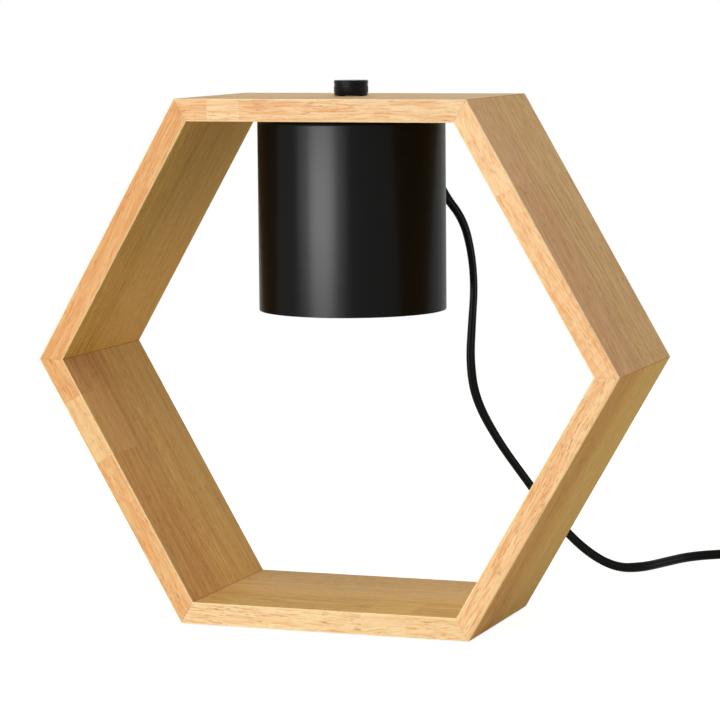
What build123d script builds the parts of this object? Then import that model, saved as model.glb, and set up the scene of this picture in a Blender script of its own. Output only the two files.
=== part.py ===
from build123d import *
import os
from math import cos, pi, radians, sin, sqrt, tan

# Candle warmer lamp: a standing hexagon of mitred boards, with a spun steel shade under
# its top board. A GU10 reflector lamp in the shade melts a candle that stands on the
# bottom board, and the knob on top turns a dimmer that sits above the lamp.
#
# Millimetres. X runs along the top and bottom boards, Y from front to back and Z up.
# The origin is on the table, under the middle of the frame and of the shade.

os.makedirs("parts", exist_ok=True)

# ---------------------------------------------------------------- driving dimensions
# Wooden frame
side_length = 150.0  # outside length of each board, and the hexagon's corner radius
board_thickness = 11.0
frame_depth = 95.0
edge_chamfer = 0.6  # eased long edges of every board
mitre_angle = 30.0  # a hexagon's mitre, off square

# Hidden dowels, two to a mitre
dowel_diameter = 4.0
dowel_length = 16.0
dowel_edge_distance = 22.0  # dowel centre to the front or back of the frame
dowel_shift = 2.0  # from the middle of the mitre towards its inside
dowel_end_gap = 0.5
dowel_chamfer = 0.5

# Self-adhesive foot pads
pad_diameter = 12.0
pad_height = 1.0
pad_side_inset = 20.0  # pad centre to the end of the bottom board
pad_front_inset = 14.0  # pad centre to the front or back of the frame

# Shade
shade_diameter = 93.0
shade_height = 94.5
shade_wall = 0.8
shade_corner_radius = 2.0
shade_lip_radius = 0.3  # eased edges of the rim

# Dimmer control under the shade's top
can_diameter = 16.5
can_height = 7.0
can_wall = 0.6
can_corner_radius = 1.0
bushing_diameter = 7.0
bushing_spare = 0.3  # thread that stands past the nut
control_base_height = 2.0
shaft_diameter = 6.0
shaft_flat = 1.5  # shaft axis to its flat
shaft_flat_start = 0.2  # above the bushing
wiper_diameter = 13.0
wiper_height = 2.5
wiper_gap = 0.4  # wiper to the can's roof
washer_diameter = 11.0
washer_thickness = 0.5
nut_across_flats = 10.0
nut_height = 2.0
nut_recess_diameter = 14.0
nut_sink = 0.5  # nut's top to the top of the wood

# Knob
knob_diameter = 17.0
knob_height = 7.6
knob_gap = 0.35  # knob to wood
knob_chamfer = 0.5
knob_bore_depth = 5.8
knob_hollow_diameter = 13.0
knob_hollow_depth = 1.2
knob_groove_depth = 0.3
knob_groove_width = 0.45
knob_groove_heights = (1.2, 4.9, 5.7)  # above the knob's underside
set_screw_diameter = 3.0
set_screw_length = 5.0
set_screw_height = 3.2  # above the knob's underside
set_screw_key = 1.5  # across the flats of its hexagon socket
set_screw_key_depth = 1.8

# Lampholder plate, hung on two long wood screws with spacers
spacer_length = 16.0
spacer_diameter = 7.0
plate_thickness = 1.0
plate_rim_height = 4.0
plate_corner_radius = 1.6
plate_lead_hole_diameter = 14.0
hanger_gap = 2.5  # spacers to the circuit board's edge
hanger_screw_diameter = 4.0
hanger_screw_length = 25.0
hanger_head_diameter = 8.0
hanger_head_height = 2.6
hanger_tip_length = 2.5
sheet_thickness = 0.4  # insulating sheet on the plate

# GU10 lampholder
holder_diameter = 27.0
holder_height = 15.0
holder_chamfer = 0.8
pin_spacing = 10.0
pin_shank_diameter = 3.1
pin_head_diameter = 5.0
pin_shank_length = 3.0
pin_head_length = 3.6
keyhole_turn = 35.0  # degrees from the way in to the locked place
keyhole_clearance = 0.3
contact_thickness = 0.6
lead_hole_diameter = 2.2
holder_screw_spacing = 19.0
holder_screw_diameter = 3.0
holder_screw_length = 16.0
holder_head_diameter = 5.6
holder_head_height = 2.2
holder_counterbore_depth = 3.0
holder_nut_across_flats = 5.5
holder_nut_height = 2.4

# GU10 reflector lamp
lamp_diameter = 50.0
lamp_length = 47.0  # front of the reflector to the top of the base
lamp_base_length = 14.0
lamp_base_width = 22.0
lamp_base_depth = 16.0
lamp_base_corner = 5.0
neck_diameter = 14.0
neck_depth = 5.0  # of the reflector's neck in the base
neck_wall = 1.5
reflector_wall = 1.4
reflector_lip_height = 5.0
reflector_lip_step = 0.7
front_glass_thickness = 1.8
front_glass_recess = 0.6
front_glass_ledge = 0.9
capsule_diameter = 8.6
capsule_length = 12.0
seal_width = 7.0
seal_thickness = 2.6

# Dimmer circuit board, soldered to the control's pins
board_gap = 1.5  # control's base to circuit board
circuit_radius = 28.0
circuit_thickness = 1.6
solder_tail = 0.5
control_pin_diameter = 1.0
control_pin_shoulder = 1.8
control_pin_places = ((-5.0, -5.0), (0.0, -5.0), (5.0, -5.0), (-3.0, 5.0), (3.0, 5.0))
block_width = 20.0
block_depth = 8.0
block_height = 8.5
block_margin = 4.0  # block's back to the board's edge
block_poles = 4
block_pitch = 5.0
block_entry_height = 2.5
block_entry_depth = 4.0
block_screw_diameter = 3.2
block_screw_sink = 1.5
choke_diameter = 14.0
choke_hole_diameter = 6.0
choke_height = 6.5
choke_offset = -6.0  # from the lamp's axis, along Y
capacitor_size = (13.0, 5.5, 9.5)
capacitor_offset = 3.0
heatsink_size = (15.0, 11.0, 1.5)
triac_size = (10.0, 9.0, 4.4)
triac_tab_length = 5.0
triac_tab_thickness = 1.3
resistor_diameter = 2.4
resistor_length = 6.5
resistor_offsets = (-8.0, -12.0)
component_margin = 11.0  # middle of a component to the board's edge

# Strain relief in the back of the shade
gland_drop = 8.0  # below the shade's roof
relief_neck_diameter = 7.0
relief_flange_diameter = 11.0
relief_flange_thickness = 1.6
relief_barb_diameter = 8.8
relief_barb_length = 2.2
relief_barb_gap = 0.3
relief_length = 20.0
relief_root_diameter = 8.4
relief_tip_diameter = 6.4
relief_groove_count = 4
relief_groove_depth = 0.7
relief_groove_width = 1.4

# Flat twin supply cord and the leads inside
cord_width = 5.2
cord_thickness = 3.2
lead_stretch = 9.7  # split cord's end to the terminal block
lead_diameter = 1.8
lead_bend_radius = 2.2
lead_spacing = 2.6  # the cord's two cores
lead_gap_height = 2.2  # lamp leads above the plate

# Put-away coil of the cord, and the plug beside it. The cord stands on edge in the coil:
# it winds inwards on the table, and outwards again on top of those turns.
coil_centre = (187.0, 211.0)
coil_mean_radius = 29.0
coil_layer_turns = 3.68
coil_gap = 0.1  # turn to turn
coil_layers = 2
coil_corner_radius = 1.5
coil_entry_angle = 132.0  # where the cord comes in, seen from above
coil_notch_angle = 38.0  # stretch where the cord lies against the outer turn
notch_slack = 0.3
tie_width = 6.0
tie_thickness = 0.7
tie_angle = 215.0
plug_width = 24.0
plug_thickness = 13.0
plug_length = 22.0
plug_corner_radius = 3.0
plug_neck_length = 15.0
plug_neck_width = 7.4
plug_neck_thickness = 5.2
plug_grip_count = 3
plug_grip_depth = 0.6
plug_grip_width = 1.4
blade_spacing = 12.7
blade_width = 6.35
blade_thickness = 1.5
blade_length = 17.0
blade_root = 4.0  # held in the plug
blade_hole_diameter = 3.0
blade_hole_inset = 3.5
blade_end_radius = 1.5
plug_shift = 1.5  # plug's axis outside the outer turn
plug_distance = 34.0  # end of the plug's neck in front of the coil's middle

# Clearances
press_clearance = 0.05  # radial, for what is glued, screwed or pushed in
running_clearance = 0.05  # radial, for the shaft in its bushing
loose_clearance = 0.2  # radial, for what passes through a plate

# ------------------------------------------------------------------- derived places
apothem = side_length * cos(radians(mitre_angle))
centre_height = pad_height + apothem
frame_top = pad_height + 2 * apothem
ceiling = frame_top - board_thickness
inner_side_length = side_length - 2 * board_thickness * tan(radians(mitre_angle))
mitre_width = board_thickness / cos(radians(mitre_angle))

shade_radius = shade_diameter / 2
shade_inner_radius = shade_radius - shade_wall
shade_roof = ceiling - shade_wall
shade_rim = ceiling - shade_height

nut_recess_depth = nut_sink + nut_height + washer_thickness
recess_floor = frame_top - nut_recess_depth
bushing_top = recess_floor + washer_thickness + nut_height + bushing_spare
can_bottom = shade_roof - can_height
control_bottom = can_bottom - control_base_height
knob_bottom = frame_top + knob_gap

hanger_spacing = 2 * (circuit_radius + hanger_gap) + spacer_diameter
block_place = circuit_radius - block_margin - block_depth / 2  # behind the lamp's axis
component_place = circuit_radius - component_margin
choke_place = (-component_place, choke_offset)
capacitor_place = (component_place, capacitor_offset)
heatsink_place = (0.0, -component_place)
resistor_places = [(component_place, offset) for offset in resistor_offsets]
circuit_top = control_bottom - board_gap
circuit_bottom = circuit_top - circuit_thickness

plate_top = shade_roof - spacer_length
plate_bottom = plate_top - plate_thickness
holder_bottom = plate_bottom - holder_height
lamp_front = holder_bottom - lamp_length
gland_height = shade_roof - gland_drop
relief_root = shade_radius + relief_flange_thickness
relief_end = relief_root + relief_length


def save(piece, node):
    """Label a finished piece and write it as its own STEP file."""
    piece.part.label = node
    export_step(piece.part, f"parts/{node}.step")


# ------------------------------------------------------------------- wooden frame
def board_plane(turn):
    """The upright plane of one board's outline: x along the board, y to the middle."""
    along = (cos(radians(turn)), 0, sin(radians(turn)))
    return Plane(origin=(0, 0, centre_height), x_dir=along, z_dir=(0, -1, 0))


def mitre_plane(corner):
    """The mitre at a corner of the hexagon: x along the depth, z from board to board."""
    outward = Vector(cos(radians(corner)), 0, sin(radians(corner)))
    across = (-sin(radians(corner)), 0, cos(radians(corner)))
    reach = side_length - mitre_width / 2 - dowel_shift
    middle = Vector(0, 0, centre_height) + outward * reach
    return Plane(origin=middle, x_dir=(0, 1, 0), z_dir=across)


dowel_places = [(frame_depth / 2 - dowel_edge_distance, 0), (dowel_edge_distance - frame_depth / 2, 0)]
dowel_hole_depth = dowel_length / 2 + dowel_end_gap

board_names = [
    "bottom_board",
    "lower_right_board",
    "upper_right_board",
    "top_board",
    "upper_left_board",
    "lower_left_board",
]
for position, board_name in enumerate(board_names):
    turn = 60 * position
    outline = board_plane(turn)
    with BuildPart() as board:
        with BuildSketch(outline):
            with BuildLine():
                Polyline(
                    (-side_length / 2, -apothem),
                    (side_length / 2, -apothem),
                    (inner_side_length / 2, board_thickness - apothem),
                    (-inner_side_length / 2, board_thickness - apothem),
                    close=True,
                )
            make_face()
        extrude(amount=frame_depth / 2, both=True)
        long_edges = board.edges().filter_by(Axis((0, 0, 0), outline.x_dir))
        chamfer(long_edges, edge_chamfer)
        for corner, side in ((turn - 120, 1), (turn - 60, -1)):
            with BuildSketch(mitre_plane(corner)):
                with Locations(*dowel_places):
                    Circle(dowel_diameter / 2 + press_clearance)
            extrude(amount=side * dowel_hole_depth, mode=Mode.SUBTRACT)
        if board_name == "top_board":
            with Locations((0, 0, frame_top)):
                CounterBoreHole(
                    bushing_diameter / 2 + press_clearance,
                    nut_recess_diameter / 2,
                    nut_recess_depth,
                )
            with BuildSketch(Plane.XY.offset(ceiling)):
                with GridLocations(hanger_spacing, 0, 2, 1):
                    Circle(hanger_screw_diameter / 2 + press_clearance)
            screw_reach = hanger_screw_length - plate_thickness - spacer_length - shade_wall
            extrude(amount=screw_reach + dowel_end_gap, mode=Mode.SUBTRACT)
    save(board, board_name)

with BuildPart() as mitre_dowels:
    for corner in range(0, 360, 60):
        with BuildSketch(mitre_plane(corner)):
            with Locations(*dowel_places):
                Circle(dowel_diameter / 2)
        extrude(amount=dowel_length / 2, both=True)
    chamfer(mitre_dowels.edges().filter_by(GeomType.CIRCLE), dowel_chamfer)
save(mitre_dowels, "mitre_dowels")

with BuildPart() as foot_pads:
    with BuildSketch():
        with GridLocations(side_length - 2 * pad_side_inset, frame_depth - 2 * pad_front_inset, 2, 2):
            Circle(pad_diameter / 2)
    extrude(amount=pad_height)
save(foot_pads, "foot_pads")

# -------------------------------------------------------------------------- shade
hanger_places = [(-hanger_spacing / 2, 0), (hanger_spacing / 2, 0)]
relief_axis = Axis((0, 0, gland_height), (0, 1, 0))


def back_plane(distance):
    """An upright plane at this distance behind the lamp's axis, centred on the gland."""
    return Plane(origin=(0, distance, gland_height), x_dir=(1, 0, 0), z_dir=(0, 1, 0))


with BuildPart() as shade:
    with BuildSketch(Plane.XY.offset(shade_rim)):
        Circle(shade_radius)
    extrude(amount=shade_height)
    fillet(shade.edges().sort_by(Axis.Z)[-1], shade_corner_radius)
    offset(amount=-shade_wall, openings=shade.faces().sort_by(Axis.Z)[0])
    with BuildSketch(Plane.XY.offset(ceiling)):
        Circle(bushing_diameter / 2 + press_clearance)
        with Locations(*hanger_places):
            Circle(hanger_screw_diameter / 2 + loose_clearance)
    extrude(amount=-2 * shade_wall, mode=Mode.SUBTRACT)
    with BuildSketch(back_plane(shade_radius + shade_wall)):
        Circle(relief_neck_diameter / 2 + press_clearance)
    extrude(amount=-4 * shade_wall, mode=Mode.SUBTRACT)
    fillet(shade.faces().sort_by(Axis.Z)[0].edges(), shade_lip_radius)
save(shade, "shade")

# ------------------------------------------------------------------ dimmer control
with BuildPart() as dimmer_can:
    with BuildSketch(Plane.XY.offset(can_bottom)):
        Circle(can_diameter / 2)
    extrude(amount=can_height)
    fillet(dimmer_can.edges().sort_by(Axis.Z)[-1], can_corner_radius)
    offset(amount=-can_wall, openings=dimmer_can.faces().sort_by(Axis.Z)[0])
    with BuildSketch(Plane.XY.offset(shade_roof)):
        Circle(bushing_diameter / 2)
    extrude(amount=bushing_top - shade_roof)
    with Locations((0, 0, bushing_top)):
        Hole(shaft_diameter / 2 + running_clearance)
save(dimmer_can, "dimmer_can")

with BuildPart() as dimmer_base:
    with BuildSketch(Plane.XY.offset(control_bottom)):
        Circle(can_diameter / 2)
    extrude(amount=control_base_height)
save(dimmer_base, "dimmer_base")

with BuildPart() as dimmer_pins:
    with BuildSketch(Plane.XY.offset(control_bottom)):
        with Locations(*control_pin_places):
            Circle(control_pin_shoulder / 2)
    extrude(amount=-board_gap)
    with BuildSketch(Plane.XY.offset(circuit_top)):
        with Locations(*control_pin_places):
            Circle(control_pin_diameter / 2)
    extrude(amount=-circuit_thickness - solder_tail)
save(dimmer_pins, "dimmer_pins")

wiper_top = shade_roof - can_wall - wiper_gap
shaft_top = knob_bottom + knob_bore_depth
with BuildPart() as dimmer_shaft:
    with BuildSketch(Plane.XY.offset(wiper_top - wiper_height)):
        Circle(shaft_diameter / 2)
    extrude(amount=shaft_top - wiper_top + wiper_height)
    with BuildSketch(Plane.XY.offset(shaft_top)):
        with Locations((0, shaft_flat)):
            Rectangle(shaft_diameter, shaft_diameter, align=(Align.CENTER, Align.MIN))
    flat_length = shaft_top - bushing_top - shaft_flat_start
    extrude(amount=-flat_length, mode=Mode.SUBTRACT)
save(dimmer_shaft, "dimmer_shaft")

with BuildPart() as wiper:
    with BuildSketch(Plane.XY.offset(wiper_top)):
        Circle(wiper_diameter / 2)
        Circle(shaft_diameter / 2, mode=Mode.SUBTRACT)
    extrude(amount=-wiper_height)
save(wiper, "dimmer_wiper")

with BuildPart() as bushing_washer:
    with BuildSketch(Plane.XY.offset(recess_floor)):
        Circle(washer_diameter / 2)
        Circle(bushing_diameter / 2 + press_clearance, mode=Mode.SUBTRACT)
    extrude(amount=washer_thickness)
save(bushing_washer, "bushing_washer")

with BuildPart() as bushing_nut:
    with BuildSketch(Plane.XY.offset(recess_floor + washer_thickness)):
        RegularPolygon(nut_across_flats / 2, 6, major_radius=False)
        Circle(bushing_diameter / 2, mode=Mode.SUBTRACT)
    extrude(amount=nut_height)
save(bushing_nut, "bushing_nut")

# --------------------------------------------------------------------------- knob
# A turned knob: chamfered rims, fine grooves round its side, a hollow underneath and
# a D-shaped blind bore that a set screw holds on the shaft's flat.
knob_radius = knob_diameter / 2
with BuildPart() as knob:
    with BuildSketch(Plane.XY.offset(knob_bottom)):
        Circle(knob_radius)
    extrude(amount=knob_height)
    chamfer(knob.edges().filter_by(GeomType.CIRCLE), knob_chamfer)
    with BuildSketch(Plane.XZ):
        for groove_height in knob_groove_heights:
            with Locations((knob_radius, knob_bottom + groove_height)):
                Rectangle(2 * knob_groove_depth, knob_groove_width)
    revolve(axis=Axis.Z, mode=Mode.SUBTRACT)
    with BuildSketch(Plane.XY.offset(knob_bottom)):
        Circle(knob_hollow_diameter / 2)
    extrude(amount=knob_hollow_depth, mode=Mode.SUBTRACT)
    with BuildSketch(Plane.XY.offset(knob_bottom)):
        Circle(shaft_diameter / 2)
        with Locations((0, shaft_flat)):
            Rectangle(shaft_diameter, shaft_diameter, align=(Align.CENTER, Align.MIN), mode=Mode.SUBTRACT)
    extrude(amount=knob_bore_depth, mode=Mode.SUBTRACT)
    screw_plane = Plane(origin=(0, shaft_flat, knob_bottom + set_screw_height), z_dir=(0, 1, 0))
    with BuildSketch(screw_plane):
        Circle(set_screw_diameter / 2)
    extrude(amount=knob_radius, mode=Mode.SUBTRACT)
save(knob, "dimmer_knob")

with BuildPart() as set_screw:
    with BuildSketch(screw_plane):
        Circle(set_screw_diameter / 2)
    extrude(amount=set_screw_length)
    with BuildSketch(screw_plane.offset(set_screw_length)):
        RegularPolygon(set_screw_key / 2, 6, major_radius=False)
    extrude(amount=-set_screw_key_depth, mode=Mode.SUBTRACT)
save(set_screw, "knob_set_screw")

# -------------------------------------------------------------- lampholder plate
plate_radius = shade_inner_radius - loose_clearance
holder_screw_places = [(0, -holder_screw_spacing / 2), (0, holder_screw_spacing / 2)]

with BuildPart() as lampholder_plate:
    with BuildSketch(Plane.XY.offset(plate_bottom)):
        Circle(plate_radius)
    extrude(amount=plate_rim_height)
    fillet(lampholder_plate.edges().sort_by(Axis.Z)[0], plate_corner_radius)
    offset(amount=-plate_thickness, openings=lampholder_plate.faces().sort_by(Axis.Z)[-1])
    with BuildSketch(Plane.XY.offset(plate_top)):
        Circle(plate_lead_hole_diameter / 2)
        with Locations(*hanger_places):
            Circle(hanger_screw_diameter / 2 + loose_clearance)
        with Locations(*holder_screw_places):
            Circle(holder_screw_diameter / 2 + press_clearance)
    extrude(amount=-2 * plate_thickness, mode=Mode.SUBTRACT)
save(lampholder_plate, "lampholder_plate")

with BuildPart() as insulating_sheet:
    with BuildSketch(Plane.XY.offset(plate_top)):
        Circle(plate_radius - plate_thickness - plate_corner_radius)
        Circle(plate_lead_hole_diameter / 2, mode=Mode.SUBTRACT)
        with Locations(*hanger_places):
            Circle(spacer_diameter / 2 + loose_clearance, mode=Mode.SUBTRACT)
        with Locations(*holder_screw_places):
            Circle(holder_nut_across_flats / sqrt(3) + loose_clearance, mode=Mode.SUBTRACT)
    extrude(amount=sheet_thickness)
save(insulating_sheet, "insulating_sheet")

with BuildPart() as plate_spacers:
    with BuildSketch(Plane.XY.offset(plate_top)):
        with Locations(*hanger_places):
            Circle(spacer_diameter / 2)
            Circle(hanger_screw_diameter / 2 + loose_clearance, mode=Mode.SUBTRACT)
    extrude(amount=spacer_length)
save(plate_spacers, "plate_spacers")

with BuildPart() as hanger_screws:
    for place in hanger_places:
        with BuildSketch(Plane(origin=(place[0], place[1], plate_bottom), x_dir=(1, 0, 0), z_dir=(0, -1, 0))):
            with BuildLine():
                Polyline(
                    (0, -hanger_head_height),
                    (hanger_head_diameter / 3, -hanger_head_height),
                    (hanger_head_diameter / 2, -hanger_head_height / 2),
                    (hanger_head_diameter / 2, 0),
                    (hanger_screw_diameter / 2, 0),
                    (hanger_screw_diameter / 2, hanger_screw_length - hanger_tip_length),
                    (0, hanger_screw_length),
                    close=True,
                )
            make_face()
        revolve(axis=Axis((place[0], place[1], 0), (0, 0, 1)))
save(hanger_screws, "hanger_screws")

# ------------------------------------------------------------- GU10 lampholder
# The lamp's headed pins go up through round holes and turn into narrow slots. Their
# heads then stand on the slots' ledge, under sprung contacts in the chamber above.
chamber_bottom = holder_bottom + pin_shank_length
head_top = chamber_bottom + pin_head_length
chamber_top = head_top + contact_thickness
way_in = pin_head_diameter / 2 + keyhole_clearance


def pin_arc(start):
    """The arc a pin travels from its way in to its locked place."""
    return CenterArc((0, 0), pin_spacing / 2, start - keyhole_turn, keyhole_turn)


with BuildPart() as lampholder:
    with BuildSketch(Plane.XY.offset(holder_bottom)):
        Circle(holder_diameter / 2)
    extrude(amount=holder_height)
    chamfer(lampholder.edges().filter_by(GeomType.CIRCLE), holder_chamfer)
    with BuildSketch(Plane.XY.offset(holder_bottom)):
        for start in (0, 180):
            SlotArc(pin_arc(start), pin_shank_diameter + 2 * keyhole_clearance)
        with PolarLocations(pin_spacing / 2, 2, start_angle=-keyhole_turn):
            Circle(way_in)
    extrude(amount=pin_shank_length, mode=Mode.SUBTRACT)
    with BuildSketch(Plane.XY.offset(chamber_bottom)):
        for start in (0, 180):
            SlotArc(pin_arc(start), 2 * way_in)
    extrude(amount=chamber_top - chamber_bottom, mode=Mode.SUBTRACT)
    with BuildSketch(Plane.XY.offset(plate_bottom)):
        with PolarLocations(pin_spacing / 2, 2):
            Circle(lead_hole_diameter / 2)
    extrude(amount=chamber_top - plate_bottom, mode=Mode.SUBTRACT)
    with Locations(Plane(origin=(0, 0, holder_bottom), z_dir=(0, 0, -1))):
        with Locations(*holder_screw_places):
            CounterBoreHole(
                holder_screw_diameter / 2 + press_clearance,
                holder_head_diameter / 2 + loose_clearance,
                holder_counterbore_depth,
            )
save(lampholder, "lampholder")

with BuildPart() as lamp_contacts:
    with BuildSketch(Plane.XY.offset(head_top)):
        with PolarLocations(pin_spacing / 2, 2):
            Circle(pin_head_diameter / 2)
    extrude(amount=contact_thickness)
save(lamp_contacts, "lamp_contacts")

screw_head_top = holder_bottom + holder_counterbore_depth
with BuildPart() as holder_screws:
    with BuildSketch(Plane.XY.offset(screw_head_top)):
        with Locations(*holder_screw_places):
            Circle(holder_head_diameter / 2)
    extrude(amount=-holder_head_height)
    with BuildSketch(Plane.XY.offset(screw_head_top)):
        with Locations(*holder_screw_places):
            Circle(holder_screw_diameter / 2)
    extrude(amount=holder_screw_length)
save(holder_screws, "holder_screws")

with BuildPart() as holder_nuts:
    with BuildSketch(Plane.XY.offset(plate_top)):
        with Locations(*holder_screw_places):
            RegularPolygon(holder_nut_across_flats / 2, 6, major_radius=False)
            Circle(holder_screw_diameter / 2, mode=Mode.SUBTRACT)
    extrude(amount=holder_nut_height)
save(holder_nuts, "holder_nuts")

# --------------------------------------------------------------- reflector lamp
lamp_base_bottom = holder_bottom - lamp_base_length
neck_top = lamp_base_bottom + neck_depth
lip_top = lamp_front + reflector_lip_height

with BuildPart() as lamp_base:
    with BuildSketch(Plane.XY.offset(lamp_base_bottom)):
        RectangleRounded(lamp_base_width, lamp_base_depth, lamp_base_corner)
    extrude(amount=lamp_base_length)
    with BuildSketch(Plane.XY.offset(lamp_base_bottom)):
        Circle(neck_diameter / 2)
    extrude(amount=neck_depth, mode=Mode.SUBTRACT)
save(lamp_base, "lamp_base")

with BuildPart() as lamp_pins:
    with BuildSketch(Plane.XY.offset(holder_bottom)):
        with PolarLocations(pin_spacing / 2, 2):
            Circle(pin_shank_diameter / 2)
    extrude(amount=pin_shank_length)
    with BuildSketch(Plane.XY.offset(chamber_bottom)):
        with PolarLocations(pin_spacing / 2, 2):
            Circle(pin_head_diameter / 2)
    extrude(amount=pin_head_length)
save(lamp_pins, "lamp_pins")

# The bowl is one curve from neck to lip, and a second one inside it
bowl_outer = lamp_diameter / 2 - reflector_lip_step
bowl_height = lamp_base_bottom - lip_top
glass_radius = lamp_diameter / 2 - reflector_wall
glass_bottom = lamp_front + front_glass_recess
glass_top = glass_bottom + front_glass_thickness
bowl_inner = glass_radius - front_glass_ledge
neck_inner = neck_diameter / 2 - neck_wall
with BuildPart() as lamp_reflector:
    with BuildSketch(Plane.XZ):
        with BuildLine():
            Line((neck_inner, neck_top), (neck_diameter / 2, neck_top))
            Line((neck_diameter / 2, neck_top), (neck_diameter / 2, lamp_base_bottom))
            ThreePointArc(
                (neck_diameter / 2, lamp_base_bottom),
                (0.72 * bowl_outer, lip_top + 0.52 * bowl_height),
                (bowl_outer, lip_top),
            )
            Polyline(
                (bowl_outer, lip_top),
                (lamp_diameter / 2, lip_top),
                (lamp_diameter / 2, lamp_front),
                (glass_radius, lamp_front),
                (glass_radius, glass_top),
                (bowl_inner, glass_top),
            )
            ThreePointArc(
                (bowl_inner, glass_top),
                (0.72 * bowl_outer - reflector_wall, lip_top + 0.52 * bowl_height - reflector_wall),
                (neck_inner, lamp_base_bottom),
            )
            Line((neck_inner, lamp_base_bottom), (neck_inner, neck_top))
        make_face()
    revolve(axis=Axis.Z)
save(lamp_reflector, "lamp_reflector")

with BuildPart() as lamp_front_glass:
    with BuildSketch(Plane.XY.offset(glass_bottom)):
        Circle(glass_radius)
    extrude(amount=front_glass_thickness)
save(lamp_front_glass, "lamp_front_glass")

capsule_top = lamp_base_bottom - reflector_wall
with BuildPart() as lamp_capsule:
    with BuildSketch(Plane.XY.offset(capsule_top)):
        Circle(capsule_diameter / 2)
    extrude(amount=-capsule_length)
    fillet(lamp_capsule.edges().sort_by(Axis.Z)[0], 0.45 * capsule_diameter)
    with BuildSketch(Plane.XY.offset(neck_top)):
        Rectangle(seal_width, seal_thickness)
    extrude(amount=capsule_top - neck_top)
save(lamp_capsule, "lamp_capsule")

# ------------------------------------------------------------ dimmer circuit board
with BuildPart() as circuit_board:
    with BuildSketch(Plane.XY.offset(circuit_bottom)):
        Circle(circuit_radius)
        with Locations(*control_pin_places):
            Circle(control_pin_diameter / 2, mode=Mode.SUBTRACT)
    extrude(amount=circuit_thickness)
save(circuit_board, "circuit_board")

entry_height = circuit_top + block_entry_height
with BuildPart() as terminal_block:
    with BuildSketch(Plane.XY.offset(circuit_top)):
        with Locations((0, block_place)):
            Rectangle(block_width, block_depth)
    extrude(amount=block_height)
    with BuildSketch(Plane.XY.offset(circuit_top + block_height)):
        with Locations((0, block_place)):
            with GridLocations(block_pitch, 0, block_poles, 1):
                Circle(block_screw_diameter / 2)
    extrude(amount=-block_screw_sink, mode=Mode.SUBTRACT)
    entry_plane = Plane(
        origin=(0, block_place + block_depth / 2, entry_height), x_dir=(1, 0, 0), z_dir=(0, 1, 0)
    )
    with BuildSketch(entry_plane):
        with GridLocations(block_pitch, 0, block_poles, 1):
            Circle(lead_diameter / 2 + press_clearance)
    extrude(amount=-block_entry_depth, mode=Mode.SUBTRACT)
save(terminal_block, "terminal_block")

with BuildPart() as filter_choke:
    with BuildSketch(Plane.XY.offset(circuit_top)):
        with Locations(choke_place):
            Circle(choke_diameter / 2)
            Circle(choke_hole_diameter / 2, mode=Mode.SUBTRACT)
    extrude(amount=choke_height)
    fillet(filter_choke.edges().filter_by(GeomType.CIRCLE), choke_height / 5)
save(filter_choke, "filter_choke")

with BuildPart() as filter_capacitor:
    with BuildSketch(Plane.XY.offset(circuit_top)):
        with Locations(capacitor_place):
            RectangleRounded(capacitor_size[0], capacitor_size[1], capacitor_size[1] / 6)
    extrude(amount=capacitor_size[2])
save(filter_capacitor, "filter_capacitor")

with BuildPart() as triac_heatsink:
    with BuildSketch(Plane.XY.offset(circuit_top)):
        with Locations(heatsink_place):
            Rectangle(heatsink_size[0], heatsink_size[1])
    extrude(amount=heatsink_size[2])
save(triac_heatsink, "triac_heatsink")

# The triac lies on the heat sink, its metal tab towards the front
triac_seat = circuit_top + heatsink_size[2]
with BuildPart() as triac:
    with BuildSketch(Plane.XY.offset(triac_seat)):
        with Locations(heatsink_place):
            Rectangle(triac_size[0], triac_size[1])
    extrude(amount=triac_size[2])
    with BuildSketch(Plane.XY.offset(triac_seat)):
        with Locations((heatsink_place[0], heatsink_place[1] - triac_size[1] / 2)):
            Rectangle(triac_size[0], triac_tab_length, align=(Align.CENTER, Align.MAX))
    extrude(amount=triac_tab_thickness)
save(triac, "triac")

with BuildPart() as gate_resistors:
    for place in resistor_places:
        axis_start = (place[0] - resistor_length / 2, place[1], circuit_top + resistor_diameter / 2)
        with BuildSketch(Plane(origin=axis_start, z_dir=(1, 0, 0))):
            Circle(resistor_diameter / 2)
        extrude(amount=resistor_length)
save(gate_resistors, "gate_resistors")

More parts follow.
